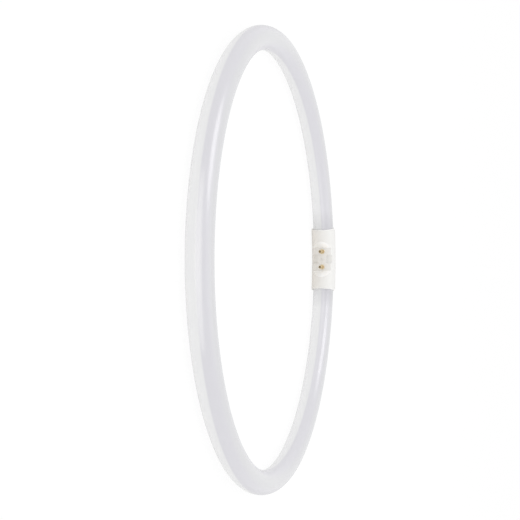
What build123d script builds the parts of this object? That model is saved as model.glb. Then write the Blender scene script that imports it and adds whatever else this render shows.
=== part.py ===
from build123d import *
import os
from math import degrees, radians, sqrt, tan

# Circular LED tube: an opal glass ring whose two ends meet in one plug cap with two contact pins.
# Millimetres. The ring lies flat, its axis is Z, its centre is the origin and its cap is at +X.

# Ring of glass
ring_diameter = 300.0
tube_diameter = 15.5
tube_wall = 1.0
tube_end_round = 0.3

# Cap over the two ends of the tube
cap_length = 48.5
cap_wall = 1.35
cap_edge_round = 0.7
shoulder_step = 0.85
tongue_width = 0.7
tongue_height = 1.0
seam_width = 0.2
seam_depth = 0.25

# Flat land across the cap, with a notch from each side and a gate mark between them
land_depth = 3.15
land_wall = 2.1
land_slope = 39.0
land_margin = 2.95
notch_width = 6.4
notch_depth = 1.2
web_width = 6.8
gate_diameter = 2.2
gate_depth = 0.35
moulded_round = 0.4

# Contact pins
pin_spacing = 12.0
pin_diameter = 2.4
pin_length = 7.2
pin_tip_round = 0.3
pin_bore_diameter = 1.6
pin_bore_depth = 2.0
pin_foot_diameter = 3.8
pin_foot_thickness = 0.6
pin_root_diameter = 3.0
pin_flange_diameter = 4.6
pin_flange_thickness = 0.8
pin_tail_diameter = 1.4
pin_tail_length = 1.1

# Board behind the land
board_overhang = 5.5
board_thickness = 1.0
board_side_gap = 0.6
lead_room = 3.2

# Parts on the board
rectifier_length = 4.8
rectifier_width = 4.0
rectifier_height = 2.4
rectifier_lift = 0.2
rectifier_leg = 0.6
rectifier_pitch = 2.6
rectifier_reach = 0.9
fuse_length = 6.4
fuse_diameter = 2.4
fuse_cap_length = 1.3
fuse_cap_rim = 0.1
component_gap = 0.6
capacitor_thickness = 2.8
capacitor_width = 7.0
capacitor_height = 5.6
capacitor_round = 0.4

# Light strip in the tube
strip_level = 1.4
strip_thickness = 0.8
strip_tail_length = 1.5
strip_tail_width = 6.0
bead_width = 1.6
bead_height = 1.0
chip_length = 3.5
chip_width = 2.8
chip_height = 0.75
chip_pitch = 7.2

# Soft rings at the glass ends, and the two leads
seal_thickness = 0.8
lead_diameter = 0.9
lead_rise = 1.6
lead_drop = 1.2
lead_step = 1.9
lead_bend = 1.1

# Clearances
tube_fit = 0.1
tongue_fit = 0.1
pin_fit = 0.05
strip_fit = 0.05

# Radii and places that follow
tube_radius = tube_diameter / 2
bore_radius = tube_radius - tube_wall
ring_radius = ring_diameter / 2 - tube_radius
sleeve_radius = tube_radius + tube_fit
cap_radius = sleeve_radius + cap_wall
chamber_radius = sleeve_radius - shoulder_step
crown_x = ring_radius - cap_radius
land_x = crown_x + land_depth
land_back_x = land_x + land_wall
land_half = pin_spacing / 2 + land_margin
board_x = land_back_x + pin_flange_thickness
board_back_x = board_x + board_thickness
board_half = pin_spacing / 2 + board_overhang
board_half_width = sqrt(chamber_radius**2 - (ring_radius - board_x) ** 2) - board_side_gap
chamber_half = board_half + lead_room
glass_end = chamber_half + seal_thickness
strip_half_width = sqrt((bore_radius - strip_fit) ** 2 - strip_level**2)
strip_under = strip_level - strip_thickness
ring_length = radians(360) * ring_radius
pin_places = (pin_spacing / 2, -pin_spacing / 2)


def along_ring(shape, start, end):
    """Carry a cross-section round the ring, between two places on its centre line.

    The section's first axis points away from the ring's centre and its second axis up.
    Places are lengths from the middle of the cap.
    """
    profile = Plane.XZ * Pos(ring_radius, 0) * shape
    solid = revolve(profile, axis=Axis.Z, revolution_arc=degrees((end - start) / ring_radius))
    return Rot(0, 0, degrees(start / ring_radius)) * solid


def block(x0, x1, y0, y1, z0, z1):
    """A box between two corners."""
    size = (x1 - x0, y1 - y0, z1 - z0)
    centre = ((x0 + x1) / 2, (y0 + y1) / 2, (z0 + z1) / 2)
    return Pos(*centre) * Box(*size)


def peg(diameter, x0, x1, y):
    """A round bar along X between two places, in the ring's plane."""
    return Pos((x0 + x1) / 2, y, 0) * Rot(0, 90, 0) * Cylinder(diameter / 2, x1 - x0)


def make_opal_tube():
    """The bent glass tube, with fire-polished ends."""
    wall = Circle(tube_radius) - Circle(bore_radius)
    tube = along_ring(wall, glass_end, ring_length - glass_end)
    ends = tube.edges().filter_by(GeomType.CIRCLE).filter_by(lambda e: e.radius < 2 * tube_radius)
    return fillet(ends, tube_end_round)


def make_cap_form():
    """The outside of the closed cap: a length of thicker ring with rounded ends."""
    form = along_ring(Circle(cap_radius), -cap_length / 2, cap_length / 2)
    ends = form.edges().filter_by(GeomType.CIRCLE).filter_by(lambda e: e.radius < 2 * cap_radius)
    return fillet(ends, cap_edge_round)


def make_cap_hollow():
    """The space in the cap: a chamber behind the land and a sleeve for each end of the tube."""
    chamber = along_ring(Circle(chamber_radius), -chamber_half, chamber_half) - make_land_space(land_wall)
    overrun = cap_length / 2 + cap_wall
    first = along_ring(Circle(sleeve_radius), chamber_half, overrun)
    second = along_ring(Circle(sleeve_radius), -overrun, -chamber_half)
    return chamber + first + second


def make_tongues(clearance):
    """The two lips along the seam, in the thick middle of the cap's wall."""
    middle = (chamber_radius + cap_radius) / 2
    align = (Align.MAX, Align.CENTER)
    lip = Rectangle(tongue_height + clearance, tongue_width + 2 * clearance, align=align)
    reach = chamber_half - tongue_height + clearance
    return [along_ring(Pos(0, side * middle) * lip, -reach, reach) for side in (1, -1)]


def make_seam_lines(side):
    """Half of the fine groove that shows along the seam, on one side of it."""
    line = Rectangle(seam_width / 2, 2 * seam_depth, align=(side, Align.CENTER))
    return [along_ring(Pos(0, z) * line, -cap_length, cap_length) for z in (cap_radius, -cap_radius)]


def make_land_space(wall=0.0):
    """The space over the land, right across the cap, with sloped ends. A wall sets its faces back."""
    floor_x = land_x + wall
    half = land_half + wall * tan(radians(land_slope) / 2)
    rise = land_depth + wall + cap_radius
    spread = rise / tan(radians(land_slope))
    outline = Polyline(
        (floor_x, -half),
        (floor_x, half),
        (floor_x - rise, half + spread),
        (floor_x - rise, -half - spread),
        close=True,
    )
    section = make_face(outline)
    corners = section.vertices().sort_by(Axis.X)[-2:]
    return extrude(fillet(corners, moulded_round + wall), 2 * cap_radius, both=True)


def make_notch(side):
    """The notch that runs into the land from one of its sides, between the pins."""
    floor_x = land_x + notch_depth
    half = notch_width / 2
    near = side * web_width / 2
    far = side * (web_width / 2 + cap_radius)
    notch = block(crown_x, floor_x, -half, half, min(near, far), max(near, far))
    return fillet(notch.edges().filter_by(Axis.X), moulded_round)


def make_cap_inner_shell(form, hollow):
    """The half of the cap towards the ring's centre, with the land."""
    shell = form & Cylinder(ring_radius, 4 * cap_radius)
    shell -= hollow
    shell -= make_land_space()
    shell -= peg(gate_diameter, crown_x, land_x + gate_depth, 0)
    for side in (1, -1):
        shell -= make_notch(side)
    for y in pin_places:
        shell -= peg(pin_root_diameter + 2 * pin_fit, crown_x, ring_radius, y)
    for groove in make_tongues(tongue_fit) + make_seam_lines(Align.MAX):
        shell -= groove
    return shell


def make_cap_outer_shell(form, hollow):
    """The plain half of the cap, away from the ring's centre, with the two lips."""
    shell = form - Cylinder(ring_radius, 4 * cap_radius) - hollow
    for tongue in make_tongues(0.0):
        shell += tongue
    for groove in make_seam_lines(Align.MIN):
        shell -= groove
    return shell


def make_contact_pin(y):
    """A turned pin: hollow tip, foot on the land, root in it, flange behind it and tail in the board."""
    tip_x = land_x - pin_length
    shaft = peg(pin_diameter, tip_x, land_x, y)
    tip = shaft.edges().filter_by(GeomType.CIRCLE).sort_by(Axis.X)[0]
    pin = fillet(tip, pin_tip_round)
    pin -= peg(pin_bore_diameter, tip_x, tip_x + pin_bore_depth, y)
    pin += peg(pin_foot_diameter, land_x - pin_foot_thickness, land_x, y)
    pin += peg(pin_root_diameter, land_x, land_back_x, y)
    pin += peg(pin_flange_diameter, land_back_x, board_x, y)
    pin += peg(pin_tail_diameter, board_x, board_back_x + pin_tail_length, y)
    return pin


def make_terminal_board():
    """The circuit board that sits on the pins' flanges."""
    board = block(board_x, board_back_x, -board_half, board_half, -board_half_width, board_half_width)
    for y in pin_places:
        board -= peg(pin_tail_diameter + 2 * pin_fit, board_x, board_back_x, y)
    return board


def make_bridge_rectifier():
    """A flat moulded block on four bent legs."""
    top = -component_gap
    base = board_back_x + rectifier_lift
    half = rectifier_length / 2
    body = block(base, base + rectifier_height, -half, half, top - rectifier_width, top)
    for offset in (rectifier_pitch / 2, -rectifier_pitch / 2):
        z = top - rectifier_width / 2 + offset
        low = z - rectifier_leg / 2
        high = z + rectifier_leg / 2
        reach = half + rectifier_reach
        body += block(board_back_x, base + rectifier_leg, half, reach, low, high)
        body += block(board_back_x, base + rectifier_leg, -reach, -half, low, high)
    return body


def make_fuse():
    """A barrel fuse that lies on the board, with a metal cap at each end."""
    z = component_gap + fuse_diameter / 2
    x = board_back_x + fuse_diameter / 2 + fuse_cap_rim
    lying = Pos(x, 0, z) * Rot(90, 0, 0)
    fuse = lying * Cylinder(fuse_diameter / 2, fuse_length)
    for side in (1, -1):
        shift = side * (fuse_length - fuse_cap_length) / 2
        fuse += Pos(0, shift, 0) * lying * Cylinder(fuse_diameter / 2 + fuse_cap_rim, fuse_cap_length)
    return fuse


def make_capacitor():
    """A boxed film capacitor at one end of the board."""
    y1 = -pin_spacing / 2 - pin_tail_diameter / 2 - component_gap
    y0 = y1 - capacitor_thickness
    half = capacitor_width / 2
    body = block(board_back_x, board_back_x + capacitor_height, y0, y1, -half, half)
    return fillet(body.edges().filter_by(Axis.X), capacitor_round)


def make_light_strip():
    """The arc-shaped circuit strip across the tube's bore, with a narrow tail into the cap at one end."""
    align = (Align.CENTER, Align.MAX)
    band = Pos(0, strip_level) * Rectangle(2 * strip_half_width, strip_thickness, align=align)
    tail = Pos(0, strip_level) * Rectangle(strip_tail_width, strip_thickness, align=align)
    strip = along_ring(band, glass_end, ring_length - glass_end)
    return strip + along_ring(tail, chamber_half - strip_tail_length, glass_end + strip_tail_length)


def make_bond_bead(side):
    """A silicone bead along one edge of the strip, in the corner between the strip and the glass."""
    edge = side * strip_half_width
    align = (Align.MIN if side < 0 else Align.MAX, Align.MIN)
    bead = Pos(edge, strip_level) * Rectangle(bead_width, bead_height, align=align)
    bead &= Circle(bore_radius - strip_fit)
    return along_ring(bead, glass_end, ring_length - glass_end)


def make_light_chips():
    """The row of light-emitting chips under the strip."""
    row_length = ring_length - 2 * (glass_end + chip_pitch / 2)
    count = int(row_length / chip_pitch) + 1
    z = strip_under - chip_height / 2
    chips = []
    for i in range(count):
        place = ring_length / 2 + (i - (count - 1) / 2) * chip_pitch
        turn = Rot(0, 0, degrees(place / ring_radius))
        chips.append(turn * Pos(ring_radius, 0, z) * Box(chip_width, chip_length, chip_height))
    return Compound(children=chips)


def make_tube_seal(start):
    """A soft ring between a glass end and the cap's shoulder."""
    return along_ring(Circle(tube_radius) - Circle(chamber_radius), start, start + seal_thickness)


def make_lead(place):
    """An insulated wire: out of the board, along the cap and up to the strip's tail."""
    y0 = pin_spacing / 2 + pin_tail_diameter / 2 + component_gap + lead_diameter
    y1 = chamber_half - strip_tail_length / 2
    x1 = board_back_x + lead_rise + place * lead_step
    z = -lead_drop - place * lead_step
    corners = [(board_back_x, y0, z), (x1, y0, z), (x1, y1, z), (x1, y1, strip_under)]
    route = FilletPolyline(*corners, radius=lead_bend)
    start = Plane(origin=route @ 0, z_dir=route % 0)
    return sweep(start * Circle(lead_diameter / 2), path=route)


def main():
    form = make_cap_form()
    hollow = make_cap_hollow()
    pieces = {
        "opal_tube": make_opal_tube(),
        "cap_inner_shell": make_cap_inner_shell(form, hollow),
        "cap_outer_shell": make_cap_outer_shell(form, hollow),
        "contact_pin_1": make_contact_pin(pin_places[0]),
        "contact_pin_2": make_contact_pin(pin_places[1]),
        "terminal_board": make_terminal_board(),
        "bridge_rectifier": make_bridge_rectifier(),
        "fuse": make_fuse(),
        "capacitor": make_capacitor(),
        "light_strip": make_light_strip(),
        "inner_bond_bead": make_bond_bead(-1),
        "outer_bond_bead": make_bond_bead(1),
        "light_chips": make_light_chips(),
        "tube_seal_1": make_tube_seal(chamber_half),
        "tube_seal_2": make_tube_seal(-chamber_half - seal_thickness),
        "positive_lead": make_lead(0),
        "negative_lead": make_lead(1),
    }
    os.makedirs("parts", exist_ok=True)
    for name, piece in pieces.items():
        export_step(piece, f"parts/{name}.step")


if __name__ == "__main__":
    main()
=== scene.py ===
from math import cos, pi, radians, sin, tan
from typing import NamedTuple

import bmesh
import bpy
from bpy.props import FloatProperty, FloatVectorProperty, PointerProperty
from bpy.types import NodeSocket, Operator, Panel, PropertyGroup
from mathutils import Matrix, Vector


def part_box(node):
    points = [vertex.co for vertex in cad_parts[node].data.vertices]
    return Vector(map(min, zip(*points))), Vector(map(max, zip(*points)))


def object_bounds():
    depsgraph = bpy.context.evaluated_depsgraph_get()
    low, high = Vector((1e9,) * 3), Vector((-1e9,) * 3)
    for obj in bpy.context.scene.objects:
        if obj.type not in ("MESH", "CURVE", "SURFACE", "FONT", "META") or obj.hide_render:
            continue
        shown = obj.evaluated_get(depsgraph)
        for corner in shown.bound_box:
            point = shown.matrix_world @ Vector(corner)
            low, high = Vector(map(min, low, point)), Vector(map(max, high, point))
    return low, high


bl_info = {
    "name": "Circular LED tube",
    "version": (1, 0, 0),
    "blender": (4, 5, 0),
    "location": "View3D > Sidebar > Ring lamp",
    "description": "Finishes for a ring-shaped opal lamp with a plug cap, and the stage it lies on",
    "category": "Object",
}

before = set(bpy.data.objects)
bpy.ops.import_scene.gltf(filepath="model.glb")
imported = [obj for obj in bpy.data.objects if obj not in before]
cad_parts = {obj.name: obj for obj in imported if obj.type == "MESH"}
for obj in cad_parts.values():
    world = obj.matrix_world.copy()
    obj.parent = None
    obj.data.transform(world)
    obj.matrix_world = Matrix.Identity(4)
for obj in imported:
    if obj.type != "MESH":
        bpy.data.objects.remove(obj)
cad_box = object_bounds()

# Sizes read from the frame, in metres
tube_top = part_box("opal_tube")[1].z
cap_low, cap_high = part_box("cap_outer_shell")
pin_low, pin_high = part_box("contact_pin_1")
floor_level = cad_box[0][2]

MM = 0.001
WHITE = (1.0, 1.0, 1.0, 1.0)


class Texture(NamedTuple):
    """How a surface varies: its clouds of colour, its grain and its roughness. Lengths are in metres."""

    cloud_size: float
    cloud_amount: float
    grain: float
    roughness: float
    spread: float = 0.15
    depth: float = 0.01 * MM


# Textures of the sealed inner pieces. A circuit board's grain is the pitch of its glass cloth.
SILICONE = Texture(cloud_size=8.0 * MM, cloud_amount=0.4, grain=0.8 * MM, roughness=0.45)
CAPACITOR_CASE = Texture(cloud_size=3.0 * MM, cloud_amount=0.4, grain=0.3 * MM, roughness=0.25)
LEAD_SLEEVE = Texture(cloud_size=3.0 * MM, cloud_amount=0.4, grain=0.3 * MM, roughness=0.3)
STRIP_RESIST = Texture(cloud_size=2.0 * MM, cloud_amount=0.35, grain=0.5 * MM, roughness=0.35, spread=0.12)
BOARD_RESIST = Texture(cloud_size=1.6 * MM, cloud_amount=0.35, grain=0.4 * MM, roughness=0.35, spread=0.12)
PLATED_PART = Texture(cloud_size=1.0 * MM, cloud_amount=0.08, grain=0.2 * MM, roughness=0.38)
LIGHT_CHIP = Texture(cloud_size=0.8 * MM, cloud_amount=0.12, grain=0.1 * MM, roughness=0.3)

# Distance along Y from the middle of a part to where its plated metal starts
RECTIFIER_METAL_FROM = 2.4 * MM
FUSE_METAL_FROM = 1.9 * MM

# How far a face leans along Y where it starts, and where it stops, to count as a slope
SLOPE_STARTS = (0.35, 0.55)
SLOPE_STOPS = (0.95, 0.8)

# How far a chip's surface looks down where its frame turns into its phosphor face
CHIP_FACE = (-0.4, -0.8)

# Levels of the noise between which clouds and patches of other roughness set in
CLOUD_EDGES = (0.35, 0.65)
PATCH_EDGES = (0.3, 0.7)

# How much larger the patches of other roughness are than the grain
PATCH_SIZE = 25.0


class LightPanel(NamedTuple):
    """A flat light, in metres: the way to it from the ring's centre, its distance and its size.

    It faces the ring's centre or away from it. Its width lies level, or is rolled by some degrees.
    """

    direction: tuple
    distance: float
    width: float
    height: float
    shape: str = "ELLIPSE"
    roll: float = 0.0
    outwards: bool = False


OVERHEAD = LightPanel(direction=(0.0, 0.001, 1.0), distance=1.4, width=1.4, height=1.4)
SIDE = LightPanel(direction=(-0.1, 0.98, 0.16), distance=1.3, width=0.9, height=0.3)
KEY = LightPanel(direction=(-0.155, 0.565, 0.81), distance=9.0, width=6.4, height=4.8, roll=34.0)
FRONT_STRIP = LightPanel(
    direction=(-0.16, 0.0, 0.0048), distance=0.16, width=0.122, height=0.0134, shape="RECTANGLE"
)
BEFORE_CAP = LightPanel(
    direction=(0.065, 0.0, 0.03),
    distance=0.0716,
    width=0.024,
    height=0.056,
    shape="RECTANGLE",
    outwards=True,
)


def colour(name, description, default):
    """A colour that a user can change."""
    return FloatVectorProperty(
        name=name, description=description, default=default, subtype="COLOR", size=3, min=0.0, max=1.0
    )


def length(name, description, default):
    """A length that a user can change, in metres."""
    return FloatProperty(name=name, description=description, default=default, unit="LENGTH", precision=5)


def share(name, description, default):
    """A value from 0 to 1 that a user can change."""
    return FloatProperty(
        name=name, description=description, default=default, subtype="FACTOR", min=0.0, max=1.0
    )


def angle(name, description, default):
    """An angle that a user can change, given in degrees."""
    return FloatProperty(name=name, description=description, default=radians(default), unit="ROTATION")


def strength(name, description, default):
    """A strength of light that a user can change, where 1 is white."""
    return FloatProperty(name=name, description=description, default=default, min=0.0)


class TubeSettings(PropertyGroup):
    """Opal glass."""

    # Painted light and shade: the glass is lighter below the strip, darker above it where the strip shades
    # it, and a little lighter again along its crown, as if lit from above.
    lower: colour("Lower tone", "Colour of the glass below the strip", (0.847, 0.847, 0.849))
    upper: colour("Upper tone", "Colour of the glass above the strip", (0.732, 0.724, 0.762))
    crown: colour("Crown tone", "Colour of the glass along its top", (0.742, 0.742, 0.757))
    # Painted shade on the glass beside the cap, over the end reach.
    end_shade: colour("End shade", "How much the glass darkens next to the cap", (0.86, 0.86, 0.865))
    step_level: length("Step level", "Height at which one tone turns into the other", 0.5 * MM)
    step_blur: length("Step blur", "Height over which the tones mix", 1.4 * MM)
    crown_from: length("Crown from", "Height at which the crown tone sets in", 5.5 * MM)
    end_reach: length("End reach", "How far the darker end shows beside the cap", 12.0 * MM)
    cloud: colour("Cloud", "Colour that the milky clouds lean to", (0.76, 0.76, 0.80))
    cloud_size: length("Cloud size", "Size of the milky clouds", 12.0 * MM)
    cloud_amount: share("Cloud amount", "How much the milky clouds show", 0.25)
    grain: length("Wave size", "Size of the soft waves of the glass", 6.0 * MM)
    depth: length("Wave depth", "Depth of the soft waves of the glass", 0.01 * MM)
    roughness: share("Roughness", "Roughness of the glass", 0.24)
    spread: share("Spread", "How much the roughness changes from place to place", 0.06)


class CapSettings(PropertyGroup):
    """Moulded cap."""

    # Painted light and shade: the plastic is lighter on the upper side, where light falls from above, and
    # darker and warmer on the lower side, in its shade.
    upper: colour("Upper tone", "Colour of the plastic on the upper side", (0.84, 0.835, 0.82))
    lower: colour("Lower tone", "Colour of the plastic on the lower side", (0.74, 0.711, 0.669))
    # Painted light on the sloped faces, fading to painted shade low on them.
    slope: colour("Slopes", "Colour of the plastic high on sloped faces", (0.93, 0.927, 0.925))
    slope_foot: colour("Slope feet", "Colour of the plastic low on sloped faces", (0.845, 0.83, 0.80))
    slope_low: length("Slope low", "Height up to which a slope has the colour of its foot", -4.5 * MM)
    slope_high: length("Slope high", "Height from which a slope has its own colour", -0.5 * MM)
    cloud: colour("Cloud", "Colour that the clouds in the plastic lean to", (0.80, 0.77, 0.72))
    cloud_size: length("Cloud size", "Size of the clouds in the plastic", 6.0 * MM)
    cloud_amount: share("Cloud amount", "How much the clouds show", 0.2)
    grain: length("Grain", "Size of the mould's texture", 0.35 * MM)
    depth: length("Grain depth", "Depth of the mould's texture", 0.012 * MM)
    roughness: share("Roughness", "Roughness of the plastic", 0.42)
    spread: share("Spread", "How much the roughness changes from place to place", 0.1)


class PinSettings(PropertyGroup):
    """Turned contact pins."""

    brass: colour("Brass", "Colour of the clean metal", (0.74, 0.58, 0.33))
    tarnish: colour("Tarnish", "Colour of the tarnished metal", (0.46, 0.33, 0.16))
    # Painted shade in the hollow tips of the pins.
    hollow: colour("Hollow", "Colour of the metal in the hollow tips", (0.42, 0.345, 0.25))
    hollow_radius: length("Hollow radius", "How far the dark metal reaches from a pin's axis", 0.85 * MM)
    hollow_depth: length("Hollow depth", "How far the dark metal reaches from a pin's tip", 2.1 * MM)
    # Painted light: the wider feet are paler than the rest of the pin.
    foot: colour("Foot", "Paler metal on the wider foot of a pin, painted light", (0.88, 0.77, 0.56))
    foot_from: length("Foot from", "How far from a pin's tip its foot starts", 6.55 * MM)
    cloud_size: length("Tarnish size", "Size of the tarnished spots", 1.2 * MM)
    cloud_amount: share("Tarnish amount", "How much the tarnish shows", 0.5)
    pitch: length("Tool pitch", "Distance between the turning marks", 0.16 * MM)
    depth: length("Tool depth", "Depth of the turning marks", 0.004 * MM)
    grain: length("Grain", "Size of the metal's grain", 0.2 * MM)
    roughness: share("Roughness", "Roughness of the metal", 0.28)
    spread: share("Spread", "How much the roughness changes from place to place", 0.16)


class InnerSettings(PropertyGroup):
    """Sealed inner pieces."""

    strip: colour("Strip", "White resist on the light strip", (0.86, 0.87, 0.86))
    board: colour("Board", "Green resist on the terminal board", (0.05, 0.25, 0.12))
    phosphor: colour("Phosphor", "Face of a light chip", (0.85, 0.66, 0.16))
    silicone: colour("Silicone", "Bond and seals", (0.78, 0.78, 0.78))
    epoxy: colour("Epoxy", "Body of the rectifier", (0.03, 0.03, 0.03))
    ceramic: colour("Ceramic", "Barrel of the fuse", (0.78, 0.76, 0.70))
    case: colour("Capacitor case", "Case of the capacitor", (0.75, 0.55, 0.12))
    tin: colour("Tin", "Plated legs and end caps", (0.70, 0.69, 0.67))
    red: colour("Red lead", "Insulation of one lead", (0.55, 0.04, 0.03))
    black: colour("Black lead", "Insulation of the other lead", (0.03, 0.03, 0.03))


class StageSettings(PropertyGroup):
    """Floor, lights and camera."""

    floor: colour("Floor", "Colour of the floor", (0.95, 0.95, 0.95))
    floor_size: length("Floor size", "Side of the floor", 40.0)
    ambient: strength("Ambient", "Strength of the light from all round", 0.86)
    shadow: share("Shadow", "How much of the floor's own shading the camera sees", 0.12)
    glow: strength("Floor glow", "White that the camera sees on the floor", 0.9)
    mirrored_glow: strength("Mirrored glow", "White that reflections show on the floor", 0.72)
    bounce: share("Bounce", "How much of the floor's own shading lights the lamp from below", 0.75)
    lift: strength("Floor lift", "Light that the floor adds from below", 0.383)
    overhead_light: strength("Overhead", "Radiance of the panel overhead", 0.6)
    side_light: strength("Sides", "Radiance of the two side panels, which light the cap", 5.0)
    key_light: strength("Key", "Radiance of the key panel, which shows as gloss", 4.4)
    front_light: strength("Front", "Radiance of the low strip in front, which shows on the glass", 3.15)
    front_tone: colour("Front tone", "Colour of the low strip in front", (0.985, 1.0, 0.87))
    front_spread: angle("Front spread", "Angle within which the low strip in front shines", 118.0)
    cap_light: strength("Before the cap", "Radiance of the small panel in the ring", 1.8)
    distance: length("Distance", "From the ring's centre to the camera", 665.15 * MM)
    height: angle("Height", "How far above the ring's plane the camera stands", 15.8618)
    turn: angle("Turn", "How far the camera turns off the ring's centre", -0.8131)
    swing: angle("Swing", "How far round the ring the camera stands", -0.23)
    lens: FloatProperty(name="Lens", description="Focal length", default=70.51, unit="CAMERA")


def place(tree, kind, inputs=None, **settings):
    """Add a node, set it up, and fill its inputs with values or with links from other sockets."""
    node = tree.nodes.new(kind)
    for name, value in settings.items():
        setattr(node, name, value)
    for name, value in (inputs or {}).items():
        if isinstance(value, NodeSocket):
            tree.links.new(value, node.inputs[name])
        else:
            node.inputs[name].default_value = value
    return node


def math(tree, operation, first, second=0.0):
    """A Math node's result."""
    return place(tree, "ShaderNodeMath", {0: first, 1: second}, operation=operation).outputs[0]


def ramp(tree, value, low, high, smooth=True):
    """A value brought from between two limits to between 0 and 1."""
    kind = "SMOOTHSTEP" if smooth else "LINEAR"
    inputs = {"Value": value, "From Min": low, "From Max": high}
    return place(tree, "ShaderNodeMapRange", inputs, interpolation_type=kind).outputs["Result"]


def mix(tree, factor, first, second, blend="MIX"):
    """Two colours mixed by a factor. A Mix node has its colours in sockets 6 and 7, and its result in 2."""
    inputs = {0: factor, 6: first, 7: second}
    return place(tree, "ShaderNodeMix", inputs, data_type="RGBA", blend_type=blend).outputs[2]


def halfway(tree, first, second):
    """The colour halfway between two others."""
    return mix(tree, 0.5, first, second)


def rgba(colour_value):
    """A colour property as a socket takes it."""
    return (*colour_value, 1.0)


def object_place(tree):
    """The place on the object, as a vector."""
    return place(tree, "ShaderNodeTexCoord").outputs["Object"]


def object_axes(tree):
    """The place on the object, as X, Y and Z."""
    return place(tree, "ShaderNodeSeparateXYZ", {"Vector": object_place(tree)}).outputs


def facing_axes(tree):
    """The way that the surface faces, as X, Y and Z."""
    normal = place(tree, "ShaderNodeTexCoord").outputs["Normal"]
    return place(tree, "ShaderNodeSeparateXYZ", {"Vector": normal}).outputs


def noise(tree, size, detail, roughness=0.5):
    """Noise of a size in metres, which a socket gives."""
    scale = math(tree, "DIVIDE", 1.0, size)
    inputs = {"Vector": object_place(tree), "Scale": scale, "Detail": detail, "Roughness": roughness}
    return place(tree, "ShaderNodeTexNoise", inputs).outputs["Fac"]


def new_group(name, inputs, outputs):
    """An empty shader node group. Returns its tree, the sockets it is given and those it makes."""
    tree = bpy.data.node_groups.new(name, "ShaderNodeTree")
    for socket, (kind, default) in inputs.items():
        made = tree.interface.new_socket(name=socket, in_out="INPUT", socket_type=kind)
        made.default_value = default
    for socket, kind in outputs.items():
        tree.interface.new_socket(name=socket, in_out="OUTPUT", socket_type=kind)
    return tree, tree.nodes.new("NodeGroupInput").outputs, tree.nodes.new("NodeGroupOutput").inputs


def mottle_group():
    """Soft cloudy change of a colour, as in opal glass, moulded plastic and cured silicone."""
    name = "Mottle"
    if name in bpy.data.node_groups:
        return bpy.data.node_groups[name]
    inputs = {
        "Color": ("NodeSocketColor", (0.8, 0.8, 0.8, 1.0)),
        "Cloud": ("NodeSocketColor", (0.7, 0.7, 0.7, 1.0)),
        "Size": ("NodeSocketFloat", 0.01),
        "Amount": ("NodeSocketFloat", 0.3),
    }
    tree, given, made = new_group(name, inputs, {"Color": "NodeSocketColor"})
    cloud = ramp(tree, noise(tree, given["Size"], detail=4.0, roughness=0.55), *CLOUD_EDGES)
    factor = math(tree, "MULTIPLY", cloud, given["Amount"])
    tree.links.new(mix(tree, factor, given["Color"], given["Cloud"]), made["Color"])
    return tree


def grain_group():
    """Fine even texture: a height for a bump, and a roughness that changes in larger patches."""
    name = "Grain"
    if name in bpy.data.node_groups:
        return bpy.data.node_groups[name]
    inputs = {
        "Size": ("NodeSocketFloat", 0.001),
        "Roughness": ("NodeSocketFloat", 0.4),
        "Spread": ("NodeSocketFloat", 0.1),
    }
    outputs = {"Height": "NodeSocketFloat", "Roughness": "NodeSocketFloat"}
    tree, given, made = new_group(name, inputs, outputs)
    patch_size = math(tree, "MULTIPLY", given["Size"], PATCH_SIZE)
    patches = ramp(tree, noise(tree, patch_size, detail=5.0), *PATCH_EDGES)
    change = math(tree, "MULTIPLY", math(tree, "SUBTRACT", patches, 0.5), given["Spread"])
    tree.links.new(noise(tree, given["Size"], detail=3.0), made["Height"])
    tree.links.new(math(tree, "ADD", given["Roughness"], change), made["Roughness"])
    return tree


def weave_group():
    """Crossed ribs of glass cloth under a resist, as on a circuit board."""
    name = "Board weave"
    if name in bpy.data.node_groups:
        return bpy.data.node_groups[name]
    inputs = {"Pitch": ("NodeSocketFloat", 0.0005)}
    tree, given, made = new_group(name, inputs, {"Height": "NodeSocketFloat"})
    x, y, z = object_axes(tree)
    turns = math(tree, "DIVIDE", 2 * pi, given["Pitch"])
    across = math(tree, "SINE", math(tree, "MULTIPLY", y, turns))
    along = math(tree, "SINE", math(tree, "MULTIPLY", math(tree, "ADD", x, z), turns))
    tree.links.new(math(tree, "MULTIPLY", across, along), made["Height"])
    return tree


def use_group(tree, group, **values):
    """What a group makes in a material, with the material's own values."""
    return place(tree, "ShaderNodeGroup", values, node_tree=group).outputs


def new_material(name):
    """A material with one Principled BSDF. Returns the material, its tree and the shader."""
    material = bpy.data.materials.new(name)
    material.use_nodes = True
    tree = material.node_tree
    tree.nodes.clear()
    shader = tree.nodes.new("ShaderNodeBsdfPrincipled")
    place(tree, "ShaderNodeOutputMaterial", {"Surface": shader.outputs["BSDF"]})
    return material, tree, shader


def finish(tree, shader, tone, cloud, texture, height=None):
    """Give a shader its colour, roughness and relief: the grain's, or that of a height that is given."""
    clouds = use_group(
        tree, mottle_group(), Color=tone, Cloud=cloud, Size=texture.cloud_size, Amount=texture.cloud_amount
    )
    grain = use_group(
        tree, grain_group(), Size=texture.grain, Roughness=texture.roughness, Spread=texture.spread
    )
    relief = grain["Height"] if height is None else height
    bump = place(tree, "ShaderNodeBump", {"Height": relief, "Distance": texture.depth, "Strength": 1.0})
    tree.links.new(clouds["Color"], shader.inputs["Base Color"])
    tree.links.new(grain["Roughness"], shader.inputs["Roughness"])
    tree.links.new(bump.outputs["Normal"], shader.inputs["Normal"])


def dress(material, *nodes):
    """Put a material on CAD nodes."""
    for name in nodes:
        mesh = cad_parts[name].data
        mesh.materials.clear()
        mesh.materials.append(material)


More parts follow.
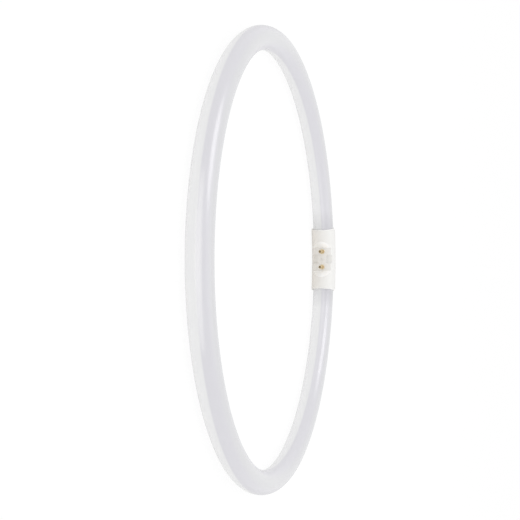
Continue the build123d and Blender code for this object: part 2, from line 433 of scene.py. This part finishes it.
def opal_glass(settings):
    """Milky glass with painted light and shade: lighter below the strip that stands across its bore, darker
    above it, a little lighter along its crown, and darker beside the cap.
    """
    material, tree, shader = new_material("opal_glass")
    x, y, z = object_axes(tree)
    # Painted light and shade: lighter below the step, darker above it, and a little lighter along the
    # crown.
    half_blur = settings.step_blur / 2
    above = ramp(tree, z, settings.step_level - half_blur, settings.step_level + half_blur)
    top = ramp(tree, z, settings.crown_from, tube_top)
    tone = mix(tree, top, rgba(settings.upper), rgba(settings.crown))
    tone = mix(tree, above, rgba(settings.lower), tone)
    # Painted shade: the glass darkens towards the cap within the end reach.
    edge = cap_high.y
    beside = ramp(tree, math(tree, "ABSOLUTE", y), edge + settings.end_reach, edge, smooth=False)
    cap_side = math(tree, "GREATER_THAN", x, 0.0)
    ending = math(tree, "MULTIPLY", beside, cap_side)
    tone = mix(tree, ending, tone, rgba(settings.end_shade), blend="MULTIPLY")
    finish(tree, shader, tone, halfway(tree, tone, rgba(settings.cloud)), settings)
    return material


def sloped_faces(tree):
    """1 on faces that slope along Y, and 0 on faces that lie along it or stand across it."""
    _, y, _ = facing_axes(tree)
    lean = math(tree, "ABSOLUTE", y)
    return math(tree, "MULTIPLY", ramp(tree, lean, *SLOPE_STARTS), ramp(tree, lean, *SLOPE_STOPS))


def cap_plastic(settings):
    """Warm white moulded plastic with a fine satin grain, with painted light and shade: lighter on the
    upper side and high on its slopes, darker and warmer on the lower side and low on its slopes.
    """
    material, tree, shader = new_material("cap_plastic")
    _, _, z = object_axes(tree)
    # Painted light and shade: lighter towards the top, darker and warmer towards the bottom.
    above = ramp(tree, z, cap_low.z, cap_high.z)
    tone = mix(tree, above, rgba(settings.lower), rgba(settings.upper))
    # Painted light on the slopes, fading to painted shade low on them.
    rise = ramp(tree, z, settings.slope_low, settings.slope_high)
    slope = mix(tree, rise, rgba(settings.slope_foot), rgba(settings.slope))
    tone = mix(tree, sloped_faces(tree), tone, slope)
    finish(tree, shader, tone, halfway(tree, tone, rgba(settings.cloud)), settings)
    return material


def hollow_tips(tree, settings, x, y, z):
    """1 inside the hollow tips of the two pins, which stand alike on both sides of Y, and 0 elsewhere."""
    middle = (pin_low + pin_high) / 2
    aside = math(tree, "SUBTRACT", math(tree, "ABSOLUTE", y), abs(middle.y))
    above = math(tree, "SUBTRACT", z, middle.z)
    square = math(tree, "ADD", math(tree, "MULTIPLY", aside, aside), math(tree, "MULTIPLY", above, above))
    near_axis = math(tree, "LESS_THAN", square, settings.hollow_radius ** 2)
    near_tip = math(tree, "LESS_THAN", x, pin_low.x + settings.hollow_depth)
    return math(tree, "MULTIPLY", near_axis, near_tip)


def pin_brass(settings):
    """Turned brass with tool marks and a little tarnish, with painted shade in its hollow tips and painted
    light on its paler feet.
    """
    material, tree, shader = new_material("pin_brass")
    x, y, z = object_axes(tree)
    shader.inputs["Metallic"].default_value = 1.0
    # Painted shade in the hollow tips.
    hollow = hollow_tips(tree, settings, x, y, z)
    # Painted light on the wider feet, which are paler.
    foot = math(tree, "GREATER_THAN", x, pin_low.x + settings.foot_from)
    clean = mix(tree, foot, rgba(settings.brass), rgba(settings.foot))
    clean = mix(tree, hollow, clean, rgba(settings.hollow))
    dull = mix(tree, foot, rgba(settings.tarnish), rgba(settings.brass))
    dull = mix(tree, hollow, dull, rgba(settings.hollow))
    rings = math(tree, "SINE", math(tree, "MULTIPLY", x, 2 * pi / settings.pitch))
    finish(tree, shader, clean, dull, settings, height=rings)
    return material


def plain_finish(name, tone, cloud, texture):
    """A moulded, cured or extruded surface: one colour with clouds and a fine grain."""
    material, tree, shader = new_material(name)
    finish(tree, shader, rgba(tone), rgba(cloud), texture)
    return material


def board_finish(name, tone, cloud, texture):
    """Solder resist over glass cloth."""
    material, tree, shader = new_material(name)
    cloth = use_group(tree, weave_group(), Pitch=texture.grain)
    finish(tree, shader, rgba(tone), rgba(cloud), texture, height=cloth["Height"])
    return material


def two_part_finish(name, body_tone, metal_tone, metal_from):
    """A moulded body between plated metal ends, which start at a distance from the middle along Y."""
    material, tree, shader = new_material(name)
    _, y, _ = object_axes(tree)
    metal = math(tree, "GREATER_THAN", math(tree, "ABSOLUTE", y), metal_from)
    tone = mix(tree, metal, rgba(body_tone), rgba(metal_tone))
    tree.links.new(metal, shader.inputs["Metallic"])
    finish(tree, shader, tone, rgba(metal_tone), PLATED_PART)
    return material


def chip_finish(settings):
    """White frames with a yellow phosphor face on the lower side."""
    material, tree, shader = new_material("chip_yellow")
    _, _, z = facing_axes(tree)
    below = ramp(tree, z, *CHIP_FACE)
    tone = mix(tree, below, rgba(settings.strip), rgba(settings.phosphor))
    finish(tree, shader, tone, rgba(settings.strip), LIGHT_CHIP)
    return material


class RINGLAMP_OT_finish_tube(Operator):
    """Give the glass ring its opal finish"""

    bl_idname = "ringlamp.finish_tube"
    bl_label = "Finish the glass ring"

    def execute(self, context):
        dress(opal_glass(context.scene.ringlamp_tube), "opal_tube")
        return {"FINISHED"}


class RINGLAMP_OT_finish_cap(Operator):
    """Give the two halves of the plug cap their moulded finish"""

    bl_idname = "ringlamp.finish_cap"
    bl_label = "Finish the plug cap"

    def execute(self, context):
        dress(cap_plastic(context.scene.ringlamp_cap), "cap_inner_shell", "cap_outer_shell")
        return {"FINISHED"}


class RINGLAMP_OT_finish_pins(Operator):
    """Give the contact pins their turned brass finish"""

    bl_idname = "ringlamp.finish_pins"
    bl_label = "Finish the contact pins"

    def execute(self, context):
        dress(pin_brass(context.scene.ringlamp_pins), "contact_pin_1", "contact_pin_2")
        return {"FINISHED"}


class RINGLAMP_OT_finish_strip(Operator):
    """Give the light strip, its chips, its bond and the seals their finishes"""

    bl_idname = "ringlamp.finish_strip"
    bl_label = "Finish the light strip"

    def execute(self, context):
        inner = context.scene.ringlamp_inner
        dress(board_finish("strip_white", inner.strip, inner.silicone, STRIP_RESIST), "light_strip")
        dress(chip_finish(inner), "light_chips")
        silicone = plain_finish("silicone", inner.silicone, inner.strip, SILICONE)
        dress(silicone, "inner_bond_bead", "outer_bond_bead", "tube_seal_1", "tube_seal_2")
        return {"FINISHED"}


class RINGLAMP_OT_finish_board(Operator):
    """Give the terminal board, the parts on it and the leads their finishes"""

    bl_idname = "ringlamp.finish_board"
    bl_label = "Finish the terminal board"

    def execute(self, context):
        inner = context.scene.ringlamp_inner
        dress(board_finish("board_green", inner.board, inner.epoxy, BOARD_RESIST), "terminal_board")
        moulding = two_part_finish("black_moulding", inner.epoxy, inner.tin, RECTIFIER_METAL_FROM)
        dress(moulding, "bridge_rectifier")
        dress(two_part_finish("fuse_ceramic", inner.ceramic, inner.tin, FUSE_METAL_FROM), "fuse")
        dress(plain_finish("capacitor_case", inner.case, inner.ceramic, CAPACITOR_CASE), "capacitor")
        dress(plain_finish("lead_red", inner.red, inner.epoxy, LEAD_SLEEVE), "positive_lead")
        dress(plain_finish("lead_black", inner.black, inner.tin, LEAD_SLEEVE), "negative_lead")
        return {"FINISHED"}


def seen_directly(tree):
    """1 on rays from the camera, in reflections and through glass, and 0 on rays that carry light."""
    path = place(tree, "ShaderNodeLightPath").outputs
    seen = math(tree, "MAXIMUM", path["Is Camera Ray"], path["Is Glossy Ray"])
    return math(tree, "MAXIMUM", seen, path["Is Transmission Ray"])


def glowing_floor(tree, settings, shading, glow):
    """A share of the floor's own shading, with some white added."""
    tone = tuple(shading * value for value in settings.floor)
    shaded = place(tree, "ShaderNodeBsdfDiffuse", {"Color": rgba(tone)})
    white = place(tree, "ShaderNodeEmission", {"Strength": glow})
    return place(tree, "ShaderNodeAddShader", {0: shaded.outputs[0], 1: white.outputs[0]}).outputs[0]


def floor_material(settings):
    """A pale floor that looks white and keeps a share of its shading."""
    material = bpy.data.materials.new("floor")
    material.use_nodes = True
    tree = material.node_tree
    tree.nodes.clear()
    matte = glowing_floor(tree, settings, settings.bounce, settings.lift)
    shown = glowing_floor(tree, settings, settings.shadow, settings.glow)
    mirrored = glowing_floor(tree, settings, settings.shadow, settings.mirrored_glow)
    camera_ray = place(tree, "ShaderNodeLightPath").outputs["Is Camera Ray"]
    view = place(tree, "ShaderNodeMixShader", {0: camera_ray, 1: mirrored, 2: shown})
    floor = place(tree, "ShaderNodeMixShader", {0: seen_directly(tree), 1: matte, 2: view.outputs[0]})
    place(tree, "ShaderNodeOutputMaterial", {"Surface": floor.outputs[0]})
    return material


def build_floor(settings):
    """A large flat floor at the lowest point of the lamp."""
    mesh = bpy.data.meshes.new("floor")
    shape = bmesh.new()
    bmesh.ops.create_grid(shape, x_segments=4, y_segments=4, size=settings.floor_size / 2)
    shape.to_mesh(mesh)
    shape.free()
    floor = bpy.data.objects.new("floor", mesh)
    floor.location.z = floor_level
    bpy.context.scene.collection.objects.link(floor)
    mesh.materials.append(floor_material(settings))


def build_world(settings):
    """Even light from all round, white where it is seen."""
    world = bpy.data.worlds.new("studio")
    world.use_nodes = True
    tree = world.node_tree
    tree.nodes.clear()
    lit = place(tree, "ShaderNodeBackground", {"Color": WHITE, "Strength": settings.ambient})
    shown = place(tree, "ShaderNodeBackground", {"Color": WHITE, "Strength": 1.0})
    seen = seen_directly(tree)
    mixed = place(tree, "ShaderNodeMixShader", {0: seen, 1: lit.outputs[0], 2: shown.outputs[0]})
    place(tree, "ShaderNodeOutputWorld", {"Surface": mixed.outputs[0]})
    bpy.context.scene.world = world


def build_panel_light(name, panel, radiance):
    """A flat light of a radiance, which the camera doesn't see."""
    light = bpy.data.lights.new(name, "AREA")
    light.shape = panel.shape
    light.size = panel.width
    light.size_y = panel.height
    area = panel.width * panel.height * (pi / 4 if panel.shape == "ELLIPSE" else 1)
    light.energy = radiance * pi * area
    lamp = bpy.data.objects.new(name, light)
    away = Vector(panel.direction).normalized()
    back = -away if panel.outwards else away
    side = Vector((0, 0, 1)).cross(back).normalized()
    turn = Matrix((side, back.cross(side), back)).transposed().to_4x4()
    turn = turn @ Matrix.Rotation(radians(panel.roll), 4, "Z")
    lamp.matrix_world = Matrix.Translation(panel.distance * away) @ turn
    lamp.visible_camera = False
    bpy.context.scene.collection.objects.link(lamp)
    return lamp


def mirrored_pair(panel):
    """A light panel, and its mirror image across Y."""
    x, y, z = panel.direction
    return panel, panel._replace(direction=(x, -y, z))


def narrow_beam(lamp, spread):
    """Keep a flat light within an angle, with its radiance straight ahead as it was."""
    half = spread / 2
    lamp.data.spread = spread
    lamp.data.energy *= 1 - half / tan(half)


def light_only(lamp, *nodes):
    """Keep a light on some of the CAD nodes."""
    receivers = bpy.data.collections.new(f"{lamp.name}_receivers")
    for name in nodes:
        receivers.objects.link(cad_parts[name])
    lamp.light_linking.receiver_collection = receivers


def build_lights(settings):
    """One panel overhead, two that light the cap from its sides, and three that show only as gloss."""
    build_panel_light("overhead", OVERHEAD, settings.overhead_light)
    for number, panel in enumerate(mirrored_pair(SIDE), start=1):
        side = build_panel_light(f"side_{number}", panel, settings.side_light)
        side.visible_glossy = False
        light_only(side, "cap_inner_shell", "cap_outer_shell")
    key = build_panel_light("key", KEY, settings.key_light)
    key.visible_diffuse = False
    front = build_panel_light("front_strip", FRONT_STRIP, settings.front_light)
    narrow_beam(front, settings.front_spread)
    front.data.color = settings.front_tone
    front.visible_diffuse = False
    light_only(front, "opal_tube")
    before_cap = build_panel_light("before_cap", BEFORE_CAP, settings.cap_light)
    before_cap.visible_diffuse = False
    light_only(before_cap, "opal_tube")


def build_camera(settings):
    """The camera, turned on its side so that the ring's axis runs across the picture."""
    forward = Vector((cos(settings.height), 0, -sin(settings.height)))
    across = Vector((sin(settings.height), 0, cos(settings.height)))
    eye = -settings.distance * forward
    aim = cos(settings.turn) * forward + sin(settings.turn) * across
    right = cos(settings.turn) * across - sin(settings.turn) * forward
    up = Vector((0, 1, 0))
    turn = Matrix((right, up, -aim)).transposed().to_4x4()
    camera = bpy.data.cameras.new("camera")
    camera.lens = settings.lens
    camera.clip_end = settings.floor_size
    eye_object = bpy.data.objects.new("camera", camera)
    swing = Matrix.Rotation(settings.swing, 4, "Z")
    eye_object.matrix_world = swing @ Matrix.Translation(eye) @ turn
    bpy.context.scene.collection.objects.link(eye_object)
    bpy.context.scene.camera = eye_object


class RINGLAMP_OT_build_stage(Operator):
    """Build the floor, the lights and the camera"""

    bl_idname = "ringlamp.build_stage"
    bl_label = "Build the stage"

    def execute(self, context):
        settings = context.scene.ringlamp_stage
        build_floor(settings)
        build_world(settings)
        build_lights(settings)
        build_camera(settings)
        context.scene.view_settings.view_transform = "Standard"
        return {"FINISHED"}


class RINGLAMP_PT_panel(Panel):
    """Lists the lamp's finishes and its stage"""

    bl_idname = "RINGLAMP_PT_panel"
    bl_label = "Ring lamp"
    bl_space_type = "VIEW_3D"
    bl_region_type = "UI"
    bl_category = "Ring lamp"

    def draw(self, context):
        for name, group in settings_groups.items():
            box = self.layout.box()
            box.label(text=group.__doc__)
            settings = getattr(context.scene, name)
            for prop in group.__annotations__:
                box.prop(settings, prop)
        for operator in operators:
            self.layout.operator(operator.bl_idname)


settings_groups = {
    "ringlamp_tube": TubeSettings,
    "ringlamp_cap": CapSettings,
    "ringlamp_pins": PinSettings,
    "ringlamp_inner": InnerSettings,
    "ringlamp_stage": StageSettings,
}
operators = (
    RINGLAMP_OT_finish_tube,
    RINGLAMP_OT_finish_cap,
    RINGLAMP_OT_finish_pins,
    RINGLAMP_OT_finish_strip,
    RINGLAMP_OT_finish_board,
    RINGLAMP_OT_build_stage,
)


def register():
    for name, group in settings_groups.items():
        bpy.utils.register_class(group)
        setattr(bpy.types.Scene, name, PointerProperty(type=group))
    for operator in operators:
        bpy.utils.register_class(operator)
    bpy.utils.register_class(RINGLAMP_PT_panel)


def unregister():
    bpy.utils.unregister_class(RINGLAMP_PT_panel)
    for operator in reversed(operators):
        bpy.utils.unregister_class(operator)
    for name, group in reversed(settings_groups.items()):
        delattr(bpy.types.Scene, name)
        bpy.utils.unregister_class(group)


def main():
    register()
    bpy.ops.ringlamp.finish_tube()
    bpy.ops.ringlamp.finish_cap()
    bpy.ops.ringlamp.finish_pins()
    bpy.ops.ringlamp.finish_strip()
    bpy.ops.ringlamp.finish_board()
    bpy.ops.ringlamp.build_stage()


if __name__ == "__main__":
    main()
